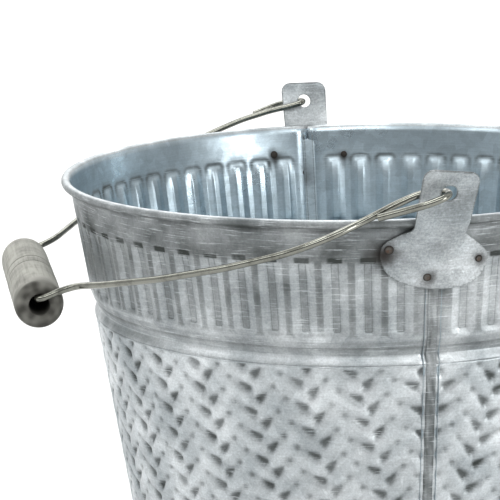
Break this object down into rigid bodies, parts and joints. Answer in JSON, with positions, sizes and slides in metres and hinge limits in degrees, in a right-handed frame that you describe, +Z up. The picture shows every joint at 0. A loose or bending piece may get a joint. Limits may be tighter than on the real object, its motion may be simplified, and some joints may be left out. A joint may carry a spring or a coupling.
{
  "type": "florist bucket",
  "caption": "Galvanised steel florist bucket with a fluted band, a pressed woven field, spot-welded ears, a swinging wire bail and a turned wood grip.",
  "frame": {"origin": "middle of the foot, on the surface the bucket stands on", "axes": "+Z up along the bucket's axis; the front ear is towards -Y; the bail hangs down over the -X side"},
  "size_m": [0.3076, 0.308, 0.2615],
  "materials": {
    "galvanised_sheet": "hot-dip galvanised, mottled, satin",
    "galvanised_wire": "galvanised wire, dull, drawn",
    "burnt_weld": "scorched spot weld with a little rust",
    "weathered_wood": "turned, grey-washed, dry"
  },
  "bodies": {
    "bucket": {"body_half_left": "galvanised_sheet", "body_half_right": "galvanised_sheet", "base_disc": "galvanised_sheet", "rim_wire": "galvanised_wire", "ear_front": "galvanised_sheet", "ear_back": "galvanised_sheet", "ear_front_welds": "burnt_weld", "ear_back_welds": "burnt_weld"},
    "bail": {"bail_wire": "galvanised_wire"},
    "grip": {"wood_grip": "weathered_wood"}
  },
  "joints": [
    {"name": "bail_swing", "type": "hinge", "parent": "bucket", "child": "bail", "pos_m": [0.001, 0.0002, 0.25148], "axis": [-0.011, 0.9999, 0.0027], "range_deg": [0, 202]},
    {"name": "grip_spin", "type": "hinge", "parent": "bail", "child": "grip", "pos_m": [-0.15606, -0.00137, 0.19469], "axis": [-0.011, 0.9999, 0.0027], "continuous": true}
  ]
}
